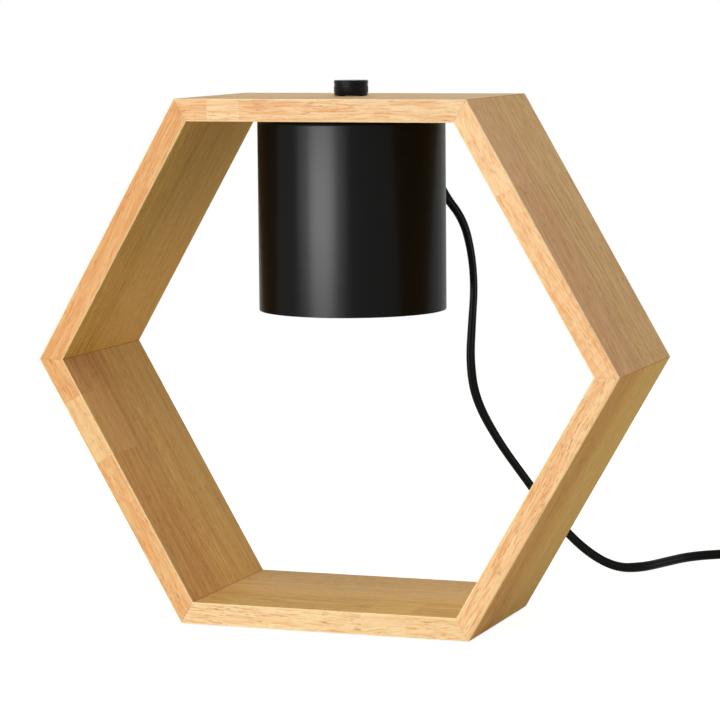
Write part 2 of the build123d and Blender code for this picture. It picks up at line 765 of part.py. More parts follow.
# ------------------------------------------------------------------ strain relief
inner_wall_y = shade_inner_radius
barb_end = inner_wall_y - relief_barb_gap
with BuildPart() as cord_relief:
    # flange and tapered sleeve, outside the shade
    with BuildSketch(Plane.YZ):
        with BuildLine():
            Polyline(
                (shade_radius - shade_wall, gland_height),
                (relief_end, gland_height),
                (relief_end, gland_height + relief_tip_diameter / 2),
                (relief_root, gland_height + relief_root_diameter / 2),
                (relief_root, gland_height + relief_flange_diameter / 2),
                (shade_radius - shade_wall, gland_height + relief_flange_diameter / 2),
                close=True,
            )
        make_face()
    revolve(axis=relief_axis)
    with BuildSketch(Plane.XY.offset(shade_rim)):
        Circle(shade_radius)
    extrude(amount=shade_height, mode=Mode.SUBTRACT)
    # grooves that let the sleeve flex
    groove_pitch = relief_length / (relief_groove_count + 1)
    for groove in range(relief_groove_count):
        groove_y = relief_root + groove_pitch * (groove + 1)
        taper = (groove + 1) / (relief_groove_count + 1)
        sleeve_diameter = relief_root_diameter + taper * (relief_tip_diameter - relief_root_diameter)
        with BuildSketch(back_plane(groove_y - relief_groove_width / 2)):
            Circle(relief_root_diameter)
            Circle(sleeve_diameter / 2 - relief_groove_depth / 2, mode=Mode.SUBTRACT)
        extrude(amount=relief_groove_width, mode=Mode.SUBTRACT)
    # neck through the wall and barb inside it
    with BuildSketch(back_plane(barb_end - relief_barb_length)):
        Circle(relief_barb_diameter / 2)
    extrude(amount=relief_barb_length)
    with BuildSketch(back_plane(barb_end)):
        Circle(relief_neck_diameter / 2)
    extrude(amount=relief_root - barb_end)
    with BuildSketch(back_plane(relief_end)):
        SlotOverall(cord_width, cord_thickness)
    extrude(amount=barb_end - relief_barb_length - relief_end, mode=Mode.SUBTRACT)
save(cord_relief, "cord_relief")

block_face_y = block_place + block_depth / 2
cord_inner_y = block_face_y + lead_stretch
with BuildPart() as cord_inner_end:
    with BuildSketch(back_plane(relief_end)):
        SlotOverall(cord_width, cord_thickness)
    extrude(amount=cord_inner_y - relief_end)
save(cord_inner_end, "cord_inner_end")

# ------------------------------------------------------------------ inside leads
entry_end_y = block_face_y - block_entry_depth
with BuildPart() as mains_leads:
    for side in (-1, 1):
        with BuildLine() as lead:
            FilletPolyline(
                (side * lead_spacing / 2, cord_inner_y, gland_height),
                (side * lead_spacing / 2, cord_inner_y - 3.0, gland_height),
                (side * block_pitch / 2, block_face_y + 3.0, entry_height),
                (side * block_pitch / 2, entry_end_y, entry_height),
                radius=lead_bend_radius,
            )
        with BuildSketch(Plane(origin=lead.line @ 0, z_dir=lead.line % 0)):
            Circle(lead_diameter / 2)
        sweep(path=lead.line)
save(mains_leads, "mains_leads")

lead_height = plate_top + lead_gap_height
outer_pole = 1.5 * block_pitch
lead_turn_y = circuit_radius + lead_bend_radius
with BuildPart() as lamp_leads:
    for side in (-1, 1):
        with BuildLine() as lead:
            FilletPolyline(
                (side * outer_pole, entry_end_y, entry_height),
                (side * outer_pole, lead_turn_y, entry_height),
                (side * outer_pole, lead_turn_y, lead_height),
                (side * pin_spacing / 2, 0, lead_height),
                (side * pin_spacing / 2, 0, chamber_top),
                radius=lead_bend_radius,
            )
        with BuildSketch(Plane(origin=lead.line @ 0, z_dir=lead.line % 0)):
            Circle(lead_diameter / 2)
        sweep(path=lead.line)
save(lamp_leads, "lamp_leads")

# ------------------------------------------------------------------- supply cord
# Chosen points: out of the strain relief, down behind the frame, on to the table and
# away to the right, where the rest is wound into a coil.
cord_radius = cord_width / 2
coil_pitch = cord_thickness + coil_gap
coil_outer_turn = coil_mean_radius + coil_layer_turns * coil_pitch / 2
coil_width = coil_layer_turns * coil_pitch + cord_thickness
coil_height = coil_layers * cord_width
route = [
    (0.0, relief_end, gland_height),
    (0.0, 79.6, gland_height),
    (0.6, 91.2, 237.8),
    (2.6, 100.9, 230.6),
    (5.4, 107.3, 220.2),
    (10.7, 109.9, 205.2),
    (21.8, 110.6, 192.5),
    (25.9, 110.4, 176.3),
    (27.8, 110.1, 157.8),
    (26.4, 109.9, 138.0),
    (25.1, 109.8, 118.0),
    (27.7, 111.5, 97.0),
    (38.1, 117.0, 75.1),
    (51.6, 126.6, 52.3),
    (64.8, 136.9, 29.5),
    (79.5, 144.4, 12.5),
    (93.0, 152.2, 3.4),
    (105.5, 162.7, cord_radius),
    (112.7, 181.3, cord_radius),
    (122.2, 204.5, cord_radius),
    (144.2, 219.7, cord_radius),
    (
        coil_centre[0] + coil_outer_turn * cos(radians(coil_entry_angle)),
        coil_centre[1] + coil_outer_turn * sin(radians(coil_entry_angle)),
        cord_radius,
    ),
]
arc_share = 0.45  # of the shorter run at each point that its arc takes up


def arc_radii(points):
    """For each inner point, the largest radius that its two runs allow."""
    radii = []
    for before, here, after in zip(points, points[1:], points[2:]):
        run_in = Vector(here) - Vector(before)
        run_out = Vector(after) - Vector(here)
        half_turn = radians(run_in.get_angle(run_out)) / 2
        radii.append(arc_share * min(run_in.length, run_out.length) / tan(half_turn))
    return radii


def cord_tube(name, points):
    """A plain round tube along straight runs joined by tangent arcs."""
    radii = arc_radii(points)
    with BuildPart() as tube:
        with BuildLine() as path:
            FilletPolyline(*points, radius=radii)
        with BuildSketch(Plane(origin=path.line @ 0, z_dir=path.line % 0)):
            Circle(cord_radius)
        sweep(path=path.line)
    length = sum(edge.length for edge in path.edges())
    volume_share = tube.part.volume / (pi * cord_radius**2 * length)
    print(name, "radii", [round(radius, 1) for radius in radii])
    print(name, "length", round(length, 1), "volume share", round(volume_share, 4))
    return tube


supply_cord = cord_tube("supply_cord", route)
save(supply_cord, "supply_cord")

coil_axis = Axis((coil_centre[0], coil_centre[1], 0), (0, 0, 1))


def coil_section(angle):
    """The upright plane through the coil's axis at this angle, x outwards and y up."""
    outwards = (cos(radians(angle)), sin(radians(angle)), 0)
    across = (sin(radians(angle)), -cos(radians(angle)), 0)
    return Plane(origin=(coil_centre[0], coil_centre[1], 0), x_dir=outwards, z_dir=across)


tie_height = coil_height + tie_thickness
with BuildPart() as cord_tie:
    with BuildSketch(coil_section(tie_angle)):
        with Locations((coil_mean_radius, tie_height / 2)):
            RectangleRounded(coil_width + 2 * tie_thickness, tie_height, coil_corner_radius + tie_thickness)
            RectangleRounded(coil_width, tie_height - 2 * tie_thickness, coil_corner_radius, mode=Mode.SUBTRACT)
    extrude(amount=tie_width / 2, both=True)
save(cord_tie, "cord_tie")

# The coil's outer shape, with a notch at the bottom where the cord comes in and one at
# the top where it leaves for the plug
notch_side = coil_outer_turn - cord_radius - running_clearance
with BuildPart() as cord_coil:
    with BuildSketch(coil_section(0)):
        with Locations((coil_mean_radius, coil_height / 2)):
            RectangleRounded(coil_width, coil_height, coil_corner_radius)
    revolve(axis=coil_axis)
    for start, notch_bottom in (
        (coil_entry_angle, -2 * notch_slack),
        (-coil_notch_angle, coil_height - cord_width - notch_slack),
    ):
        with BuildSketch(coil_section(start)):
            with Locations((notch_side, notch_bottom)):
                notch_height = cord_width + 2 * notch_slack
                Rectangle(coil_width, notch_height, align=(Align.MIN, Align.MIN))
        revolve(axis=coil_axis, revolution_arc=coil_notch_angle, mode=Mode.SUBTRACT)
    add(cord_tie.part, mode=Mode.SUBTRACT)
save(cord_coil, "supply_cord_coil")

# --------------------------------------------------------------------- plug
# Two-blade mains plug, flat on the table, its blades towards the front
plug_x = coil_centre[0] + coil_outer_turn + plug_shift
neck_end_y = coil_centre[1] - plug_distance
plug_y = neck_end_y - plug_neck_length
plug_height = plug_thickness / 2
plug_plane = Plane(origin=(plug_x, plug_y, plug_height), x_dir=(1, 0, 0), z_dir=(0, 1, 0))
with BuildPart() as plug_body:
    with BuildSketch(plug_plane.offset(-plug_length)):
        RectangleRounded(plug_width, plug_thickness, plug_corner_radius)
    with BuildSketch(plug_plane.offset(-plug_length / 3)):
        RectangleRounded(plug_width, plug_thickness, plug_corner_radius)
    with BuildSketch(plug_plane):
        RectangleRounded(0.6 * plug_width, 0.8 * plug_thickness, plug_corner_radius)
    loft(ruled=True)
    with BuildSketch(plug_plane):
        RectangleRounded(1.5 * plug_neck_width, 1.5 * plug_neck_thickness, plug_neck_thickness / 2)
    with BuildSketch(plug_plane.offset(plug_neck_length)):
        RectangleRounded(plug_neck_width, plug_neck_thickness, plug_neck_thickness / 2 - 0.1)
    loft()
    with BuildSketch(plug_plane.offset(-plug_length)):
        with GridLocations(blade_spacing, 0, 2, 1):
            Rectangle(blade_thickness, blade_width)
    extrude(amount=blade_root, mode=Mode.SUBTRACT)
save(plug_body, "plug_body")

blade_tip = plug_y - plug_length - blade_length
with BuildPart() as plug_blades:
    for side in (-1, 1):
        blade_x = plug_x + side * blade_spacing / 2
        with BuildSketch(Plane(origin=(blade_x, blade_tip, plug_height), x_dir=(0, 1, 0), z_dir=(1, 0, 0))):
            with Locations(((blade_length + blade_root) / 2, 0)):
                RectangleRounded(blade_length + blade_root, blade_width, blade_end_radius)
            with Locations(((blade_length + 2 * blade_root) / 2, 0)):
                Rectangle(blade_length, blade_width)
            with Locations((blade_hole_inset, 0)):
                Circle(blade_hole_diameter / 2, mode=Mode.SUBTRACT)
        extrude(amount=blade_thickness / 2, both=True)
save(plug_blades, "plug_blades")

# The cord's last stretch, from the top of the coil down to the plug
tail_run = plug_distance / 3
tail_height = coil_height - cord_radius
tail = [
    (coil_centre[0] + coil_outer_turn, coil_centre[1], tail_height),
    (coil_centre[0] + coil_outer_turn, coil_centre[1] - tail_run, tail_height),
    (plug_x, neck_end_y + tail_run, plug_height),
    (plug_x, neck_end_y, plug_height),
]
supply_cord_tail = cord_tube("supply_cord_tail", tail)
save(supply_cord_tail, "supply_cord_tail")
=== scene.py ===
from math import pi, radians

import bpy
import numpy as np
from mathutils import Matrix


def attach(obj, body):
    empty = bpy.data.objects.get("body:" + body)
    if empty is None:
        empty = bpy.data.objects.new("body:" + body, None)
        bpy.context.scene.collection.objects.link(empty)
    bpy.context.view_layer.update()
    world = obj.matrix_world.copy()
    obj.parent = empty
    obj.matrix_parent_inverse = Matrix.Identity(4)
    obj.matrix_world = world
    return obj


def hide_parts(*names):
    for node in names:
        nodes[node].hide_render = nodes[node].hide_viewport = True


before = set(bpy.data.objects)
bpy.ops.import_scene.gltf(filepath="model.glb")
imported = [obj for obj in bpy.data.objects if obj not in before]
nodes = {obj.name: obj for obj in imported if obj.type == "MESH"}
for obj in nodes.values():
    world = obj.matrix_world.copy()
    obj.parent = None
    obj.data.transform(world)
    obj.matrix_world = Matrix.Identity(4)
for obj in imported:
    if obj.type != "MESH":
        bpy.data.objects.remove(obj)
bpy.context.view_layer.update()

scene = bpy.context.scene

# ------------------------------------------------------------------------- camera
# The lens in millimetres, its place in metres and its turn in radians.
lens = bpy.data.cameras.new("camera")
lens.sensor_width = 36.0
lens.lens = 158.366
lens.clip_end = 30.0
camera = bpy.data.objects.new("camera", lens)
camera.location = (0.53968, -1.47092, 0.30931)
camera.rotation_euler = (1.4566564, 0.0084895, 0.3485988)
scene.collection.objects.link(camera)
scene.camera = camera
scene.view_settings.view_transform = "Standard"


# ------------------------------------------------------------------ finishes
class Finish:
    """A material, with short ways to add nodes to it and join them up."""

    def __init__(self, name, roughness=0.5, metallic=0.0, specular=0.5, **sockets):
        self.material = bpy.data.materials.new(name)
        self.material.use_nodes = True
        self.tree = self.material.node_tree
        self.shader = self.tree.nodes["Principled BSDF"]
        self.shader.inputs["Roughness"].default_value = roughness
        self.shader.inputs["Metallic"].default_value = metallic
        self.shader.inputs["Specular IOR Level"].default_value = specular
        for socket, value in sockets.items():
            self.shader.inputs[socket.replace("_", " ")].default_value = value

    def put(self, kind, inputs=(), **settings):
        """Adds a node, sets it up, and fills its inputs by name or number."""
        node = self.tree.nodes.new(kind)
        for key, value in settings.items():
            setattr(node, key, value)
        for key, value in dict(inputs).items():
            socket = node.inputs[key]
            if isinstance(value, bpy.types.NodeSocket):
                self.tree.links.new(value, socket)
            else:
                socket.default_value = value
        return node

    def place(self, turn=0.0, height=0.0):
        """Object coordinates in millimetres from a height in metres, turned so that x runs
        along a board."""
        mapping = {
            "Vector": self.put("ShaderNodeTexCoord").outputs["Object"],
            "Location": (0.0, 0.0, height),
            "Rotation": (0.0, -radians(turn), 0.0),
            "Scale": (0.001, 0.001, 0.001),
        }
        return self.put("ShaderNodeMapping", mapping, vector_type="TEXTURE").outputs[0]

    def stretch(self, vector, size):
        """The vector divided by a size for each axis."""
        inputs = {0: vector, 1: tuple(1.0 / value for value in size)}
        return self.put("ShaderNodeVectorMath", inputs, operation="MULTIPLY").outputs[0]

    def split(self, vector):
        """The vector's three numbers."""
        return self.put("ShaderNodeSeparateXYZ", {0: vector}).outputs

    def join(self, x, y, z):
        """A vector of three numbers."""
        return self.put("ShaderNodeCombineXYZ", {0: x, 1: y, 2: z}).outputs[0]

    def length(self, x, y, z):
        """How far a point is from zero."""
        inputs = {0: self.join(x, y, z)}
        return self.put("ShaderNodeVectorMath", inputs, operation="LENGTH").outputs["Value"]

    def calc(self, operation, first, second=0.0, third=0.0):
        """One step of arithmetic."""
        inputs = {0: first, 1: second, 2: third}
        return self.put("ShaderNodeMath", inputs, operation=operation).outputs[0]

    def times(self, first, second):
        """One value times another."""
        return self.calc("MULTIPLY", first, second)

    def plus(self, first, second):
        """The sum of two values."""
        return self.calc("ADD", first, second)

    def scale(self, value, factor, start):
        """A value times a factor, counted from a start."""
        return self.calc("MULTIPLY_ADD", value, factor, start)

    def noise(self, vector, detail=2.0, roughness=0.5):
        """Soft noise from 0 to 1 with features about one unit across."""
        inputs = {"Vector": vector, "Scale": 1.0, "Detail": detail, "Roughness": roughness}
        return self.put("ShaderNodeTexNoise", inputs).outputs["Fac"]

    def chance(self, number):
        """Three even random numbers that belong to a number."""
        node = self.put("ShaderNodeTexWhiteNoise", {"W": number}, noise_dimensions="1D")
        return node.outputs["Color"]

    def span(self, value, low, high, to_low=0.0, to_high=1.0):
        """The value's place between two limits, eased at both ends, as a number that goes
        from one end value to the other."""
        limits = {"From Min": low, "From Max": high, "To Min": to_low, "To Max": to_high}
        inputs = {"Value": value, **limits}
        return self.put("ShaderNodeMapRange", inputs, interpolation_type="SMOOTHSTEP").outputs[0]

    def blend(self, share, first, second, mode="MIX"):
        """One colour into another by a share."""
        node = self.put("ShaderNodeMix", {"Factor": share}, data_type="RGBA", blend_type=mode)
        for socket, value in ((6, first), (7, second)):
            if isinstance(value, bpy.types.NodeSocket):
                self.tree.links.new(value, node.inputs[socket])
            else:
                node.inputs[socket].default_value = (*value, 1.0)
        return node.outputs[2]

    def bump(self, height, distance, strength=1.0, under=None):
        """Tilts the surface by a height from 0 to 1, as deep as the distance in metres."""
        inputs = {"Height": height, "Distance": distance, "Strength": strength}
        if under is not None:
            inputs["Normal"] = under
        return self.put("ShaderNodeBump", inputs).outputs[0]

    def wire(self, **sockets):
        """Joins sockets of the shader to what feeds them."""
        for name, value in sockets.items():
            self.tree.links.new(value, self.shader.inputs[name.replace("_", " ")])
        return self.material


def dress(node, material):
    """Gives a node's object one finish all over."""
    mesh = nodes[node].data
    mesh.materials.clear()
    mesh.materials.append(material)


# -------------------------------------------------------------------------- wood
# Light hardwood boards, glued from three staves side by side. Each stave is a row of
# blocks joined end to end. Along a board, x runs from its middle; depth is y, and z falls
# outwards from the hexagon's middle. All in millimetres.
frame_middle = 130.904  # height of the hexagon's middle
inner_face = 118.904  # from the hexagon's middle to the boards' inner faces
outer_face = 129.904
stave_width = 33.0
board_depth = 95.0
ramp_length = 160.0  # along a board, a little more than its length
mitre_slope = 0.57735  # tangent of a mitre's 30 degrees
ring_spacing = 3.6
wave_height = 3.2
cream = (0.95, 0.765, 0.455)
straw = (0.90, 0.62, 0.335)
peach = (0.83, 0.46, 0.21)
amber = (0.74, 0.35, 0.14)
rust = (0.46, 0.20, 0.075)
umber = (0.42, 0.23, 0.10)

# Each kind of figure is noise: its size along and across the grain in millimetres, then
# the detail and the roughness of the noise.
figures = {
    "waver": (60.0, 26.0, 1.0, 0.5),
    "band": (60.0, 4.0, 3.0, 0.6),
    "streak": (17.0, 0.8, 3.0, 0.6),
    "line": (20.0, 0.4, 2.0, 0.6),
    "drift": (16.0, 7.0, 1.0, 0.5),
    "pore": (4.4, 0.4, 1.0, 0.5),
    "fleck": (5.0, 0.55, 2.0, 0.6),
    "stripe": (140.0, 2.6, 3.0, 0.65),
}


def stave_blocks(wood, x, blocks, first):
    """A stepped ramp along the stave. Red is how rosy a block is, green how bold its
    figure is, and blue tells it from the others. Each block starts at its own x."""
    ramp = wood.put("ShaderNodeValToRGB", {0: wood.scale(x, 1.0 / ramp_length, 0.5)})
    steps = ramp.color_ramp
    steps.interpolation = "CONSTANT"
    steps.elements.remove(steps.elements[1])
    for count, (start, rosy, bold) in enumerate(blocks):
        if count == 0:
            step = steps.elements[0]
        else:
            step = steps.elements.new(0.5 + start / ramp_length)
        step.color = (rosy, bold, (0.137 * (first + count)) % 1.0, 1.0)
    return ramp.outputs[0]


def wood_finish(name, turn, front, middle, back, seed, tone_and_shade_tints):
    """A block's number shifts its grain, leans it and bows it. Rings are the distance
    from a far-off heart, plus a bow that grows with the square of the length, waved by
    slow noise, and show where their phase nears its end. Streaks, lines, stripes and
    pores are noise drawn out along the grain. The sanded edges, and the front stave and
    the rest of the inner and the outer face, each take a tint that holds the wood's tone
    and painted shade, and arrises are painted paler as a highlight."""
    wood = Finish(name, roughness=0.5, specular=0.02)
    times, plus, scale = wood.times, wood.plus, wood.scale
    calc, span, blend = wood.calc, wood.span, wood.blend

    def figure(kind, where):
        """One kind of figure, drawn out along the grain, from 0 to 1."""
        along, across, detail, roughness = figures[kind]
        drawn_out = wood.stretch(where, (along, across, across))
        return wood.noise(drawn_out, detail=detail, roughness=roughness)

    place = wood.place(turn=turn, height=frame_middle / 1000.0)
    x, y, z = wood.split(place)
    block = stave_blocks(wood, x, front, seed)
    for stave, blocks, first in ((1, middle, seed + 3), (2, back, seed + 5)):
        past_seam = calc("GREATER_THAN", y, stave * stave_width - board_depth / 2)
        block = blend(past_seam, block, stave_blocks(wood, x, blocks, first))
    rosy, bold, number = wood.split(block)
    shift_x, lean_y, lean_z = wood.split(wood.chance(times(number, 91.7)))

    # the figure is quieter on the broad faces than on the sanded edges
    from_middle = calc("ABSOLUTE", y)
    broad = span(from_middle, board_depth / 2 - 0.5, board_depth / 2 - 0.1, 1.0, 0.0)
    quiet = scale(broad, -0.55, 1.0)
    rosy = times(rosy, times(quiet, quiet))
    strength = times(scale(bold, 0.9, 0.25), quiet)

    # the grain's own coordinates, shifted and leaned for each block
    waver = figure("waver", place)
    wave = times(waver, wave_height)
    along = scale(shift_x, 173.0, x)
    side = plus(scale(scale(lean_y, 0.10, -0.05), x, y), wave)
    deep = plus(scale(scale(lean_z, 0.11, -0.055), x, z), wave)
    grain = wood.join(along, side, scale(number, 61.0, deep))

    # growth rings, in bands
    heart_y = plus(side, scale(lean_z, 90.0, -45.0))
    heart_z = plus(deep, scale(lean_y, 50.0, 140.0))
    reach = wood.length(0.0, heart_y, heart_z)
    half_way = plus(x, scale(shift_x, 60.0, -30.0))
    bow = times(times(half_way, half_way), scale(lean_y, 0.008, -0.004))
    phase = calc("FRACT", calc("DIVIDE", plus(reach, bow), ring_spacing))
    band = figure("band", grain)
    ring = times(span(phase, 0.3, 0.97), span(band, 0.35, 0.62))

    # streaks, fine lines, flecks, stripes, and pores that come in drifts
    line = figure("line", grain)
    flame = times(span(figure("streak", grain), 0.51, 0.66), strength)
    hair = times(span(line, 0.54, 0.70), strength)
    speck = span(figure("fleck", grain), 0.52, 0.66)
    drift = span(figure("drift", grain), 0.42, 0.60, 0.2, 0.95)
    dash = times(span(figure("pore", grain), 0.61, 0.70), drift)
    stripe = times(span(figure("stripe", grain), 0.42, 0.60), broad)

    # how far a place is from the nearest mitre, and from the nearest seam between staves
    mitre = calc("ABSOLUTE", calc("SUBTRACT", calc("ABSOLUTE", x), times(z, -mitre_slope)))
    seam = calc("PINGPONG", plus(y, board_depth / 2), stave_width)
    seam = calc("MINIMUM", seam, calc("ABSOLUTE", plus(seam, -stave_width)))

    layers = (
        (times(span(band, 0.42, 0.68), scale(rosy, 0.65, 0.12)), peach),
        (times(ring, times(strength, 0.45)), amber),
        (times(flame, 0.74), amber),
        (times(hair, span(broad, 0.0, 1.0, 0.42, 1.0)), rust),
        (times(speck, scale(rosy, 0.4, 0.34)), amber),
        (times(dash, scale(bold, 0.7, 0.25)), rust),
        (times(stripe, times(strength, strength)), umber),
        (times(span(mitre, 0.1, 0.42, 1.0, 0.0), span(broad, 0.0, 1.0, 0.26, 0.6)), rust),
        (span(seam, 0.08, 0.34, 0.4, 0.0), rust),
    )
    colour = blend(rosy, cream, straw)
    for share, tone in layers:
        colour = blend(share, colour, tone)

    # tints that paint shade as well as the wood's tone: faces that lie in shade are painted
    # darker and warmer
    edges, inner_front, inner_rest, outer_front, outer_rest = tone_and_shade_tints
    outward = times(z, -1.0)
    outside = calc("GREATER_THAN", outward, (inner_face + outer_face) / 2)
    beyond = span(plus(y, waver), -16.0, 8.0)
    inner = blend(beyond, inner_front, inner_rest)
    outer = blend(beyond, outer_front, outer_rest)
    # painted shade: this tint darkens and warms each face as light falls on it
    tone_and_shade = blend(broad, edges, blend(outside, inner, outer))
    colour = blend(1.0, colour, tone_and_shade, mode="MULTIPLY")

    # painted highlight: arrises paler, by the distance from the nearest long edge
    arris_z = calc("PINGPONG", plus(outward, -inner_face), (outer_face - inner_face) / 2)
    arris = wood.length(0.0, plus(from_middle, -board_depth / 2), arris_z)
    colour = blend(span(arris, 0.35, 0.9, 0.5, 0.0), colour, cream)

    rough = span(line, 0.3, 0.8, 0.46, 0.6)
    dents = scale(dash, -1.0, times(line, 0.35))
    return wood.wire(Base_Color=colour, Roughness=rough, Normal=wood.bump(dents, 0.00015, 0.6))


# For each board: its turn, then the blocks of its front, middle and back staves, each
# with its start, how rosy and how bold it is, and its tints: the front and back edges,
# then the front stave and the rest of the inner face and of the outer face. The tints
# hold painted shade as well as the wood's tone: faces that lie in shade are painted
# darker and more yellow, and the fronts of the left boards, nearer the front lamp, darker.
boards = {
    "bottom_board": (
        0,
        [(-80, 0.0, 1.0), (20, 0.0, 0.45), (42.8, 0.25, 0.9)],
        [(-80, 0.6, 0.4), (61, 0.7, 0.4)],
        [(-80, 0.8, 0.5)],
        (
            (0.94, 1.0, 0.99),
            (0.94, 0.81, 0.48), (1.0, 0.90, 0.69),
            (0.95, 0.90, 0.70), (0.95, 0.90, 0.70),
        ),
    ),
    "lower_right_board": (
        60,
        [(-80, 0.3, 1.0)],
        [(-80, 0.3, 0.5), (31, 0.5, 0.4)],
        [(-80, 0.1, 0.4), (-18, 0.3, 0.3)],
        (
            (1.0, 1.0, 0.98),
            (1.0, 0.88, 0.55), (1.0, 0.88, 0.55),
            (0.92, 0.67, 0.27), (1.0, 0.83, 0.37),
        ),
    ),
    "upper_right_board": (
        120,
        [(-80, 0.45, 0.85), (28.1, 0.05, 0.6)],
        [(-80, 0.3, 1.0), (26, 0.2, 0.85)],
        [(-80, 0.2, 0.9), (30, 0.2, 0.8)],
        (
            (1.0, 0.99, 0.97),
            (1.0, 0.88, 0.55), (1.0, 0.88, 0.55),
            (0.97, 0.78, 0.69), (1.0, 0.86, 0.71),
        ),
    ),
    "top_board": (
        180,
        [(-80, 0.0, 0.9), (-37.1, 0.25, 1.0), (40.6, 0.0, 0.7), (57.1, 0.85, 1.0)],
        [(-80, 0.3, 0.4), (9, 0.5, 0.3)],
        [(-80, 0.2, 0.5), (-30, 0.6, 0.4), (46, 0.3, 0.4)],
        (
            (0.94, 0.97, 1.0),
            (1.0, 0.88, 0.55), (1.0, 0.88, 0.55),
            (1.0, 0.94, 0.94), (1.0, 0.94, 0.92),
        ),
    ),
    "upper_left_board": (
        240,
        [(-80, 0.7, 0.95)],
        [(-80, 0.3, 0.6)],
        [(-80, 0.4, 0.5)],
        (
            (0.86, 0.80, 0.70),
            (0.93, 0.77, 0.34), (1.0, 0.82, 0.41),
            (0.97, 0.90, 0.80), (0.97, 0.90, 0.80),
        ),
    ),
    "lower_left_board": (
        300,
        [(-80, 0.9, 1.0), (-49.3, 0.0, 0.45), (-15, 0.6, 0.9)],
        [(-80, 0.5, 0.9)],
        [(-80, 0.2, 0.6)],
        (
            (0.87, 0.83, 0.73),
            (0.88, 0.67, 0.44), (1.0, 0.85, 0.55),
            (0.97, 0.92, 0.75), (0.97, 0.92, 0.75),
        ),
    ),
}
for count, (board, (turn, front, middle, back, tone_and_shade_tints)) in enumerate(boards.items()):
    dress(board, wood_finish(board + "_wood", turn, front, middle, back, 7 * count + 1, tone_and_shade_tints))


def plain_finish(name, colour, roughness, grain=3.0, variation=0.12, depth=0.00004, **sockets):
    """One colour, a little uneven by soft noise of the given grain in millimetres, with
    its roughness and a shallow bump from the same noise."""
    finish = Finish(name, roughness=roughness, **sockets)
    place = finish.place()
    soft = finish.noise(finish.stretch(place, (grain, grain, grain)), detail=4.0)
    dimmer = tuple(value * (1.0 - variation) for value in colour)
    lighter = tuple(min(1.0, value * (1.0 + variation)) for value in colour)
    shade = finish.blend(soft, dimmer, lighter)
    rough = finish.span(soft, 0.2, 0.8, max(0.02, roughness - 0.06), min(1.0, roughness + 0.06))
    return finish.wire(Base_Color=shade, Roughness=rough, Normal=finish.bump(soft, depth, 0.5))


def mirror_finish():
    """Aluminium blown on dimpled glass: the height is the distance to the nearest of
    scattered points three millimetres apart."""
    mirror = Finish("mirror_coat", roughness=0.1, metallic=1.0)
    place = mirror.place()
    inputs = {"Vector": mirror.stretch(place, (3.0, 3.0, 3.0)), "Scale": 1.0}
    cells = mirror.put("ShaderNodeTexVoronoi", inputs)
    film = mirror.noise(mirror.stretch(place, (4.0, 4.0, 4.0)), detail=2.0)
    colour = mirror.blend(film, (0.74, 0.72, 0.68), (0.84, 0.82, 0.78))
    rough = mirror.span(film, 0.2, 0.8, 0.08, 0.14)
    dimples = mirror.bump(cells.outputs["Distance"], 0.0006, 0.7)
    return mirror.wire(Base_Color=colour, Roughness=rough, Normal=dimples)


# ---------------------------------------------------------------- shade and knob
def shade_finish():
    """Black powder coat under satin lacquer on spun steel: noise a third of a millimetre
    across lifts it, and slow noise down its side varies the gloss."""
    lacquer = dict(Coat_Weight=0.17, Coat_Roughness=0.22)
    coat = Finish("shade_coat", roughness=0.40, specular=0.025, **lacquer)
    place = coat.place()
    peel = coat.noise(coat.stretch(place, (0.35, 0.35, 0.35)), detail=2.0)
    spin = coat.noise(coat.stretch(place, (60.0, 60.0, 3.0)), detail=2.0)
    colour = coat.blend(peel, (0.0012, 0.0011, 0.0010), (0.0024, 0.0022, 0.0020))
    rough = coat.span(spin, 0.2, 0.8, 0.37, 0.43)
    lift = coat.bump(peel, 0.00003, 0.35, under=coat.bump(spin, 0.00001, 0.1))
    return coat.wire(Base_Color=colour, Roughness=rough, Normal=lift)


knob_top = 268.7  # height in millimetres, just under its top face
ring_rate = 21.0  # radians for each millimetre
ring_waver = 9.0  # radians


def knob_finish():
    """Black anodised turning: fine rings by height on the side and by distance from the
    axis on the top, as sines of slightly uneven pitch. The top face is glossier."""
    metal = Finish("knob_anodised", roughness=0.34, specular=0.16)
    place = metal.place()
    x, y, z = metal.split(place)
    path = metal.plus(metal.length(x, y, 0.0), z)
    uneven = metal.noise(metal.join(0.0, 0.0, path), detail=3.0)
    rings = metal.calc("SINE", metal.scale(path, ring_rate, metal.times(uneven, ring_waver)))
    wear = metal.noise(metal.stretch(place, (1.5, 1.5, 0.2)), detail=2.0)
    colour = metal.blend(wear, (0.0006, 0.0006, 0.0008), (0.0015, 0.0015, 0.0018))
    on_top = metal.calc("GREATER_THAN", z, knob_top)
    rough = metal.scale(on_top, -0.26, metal.span(uneven, 0.2, 0.8, 0.27, 0.38))
    return metal.wire(Base_Color=colour, Roughness=rough, Normal=metal.bump(rings, 0.00002, 0.6))


dress("shade", shade_finish())
dress("dimmer_knob", knob_finish())

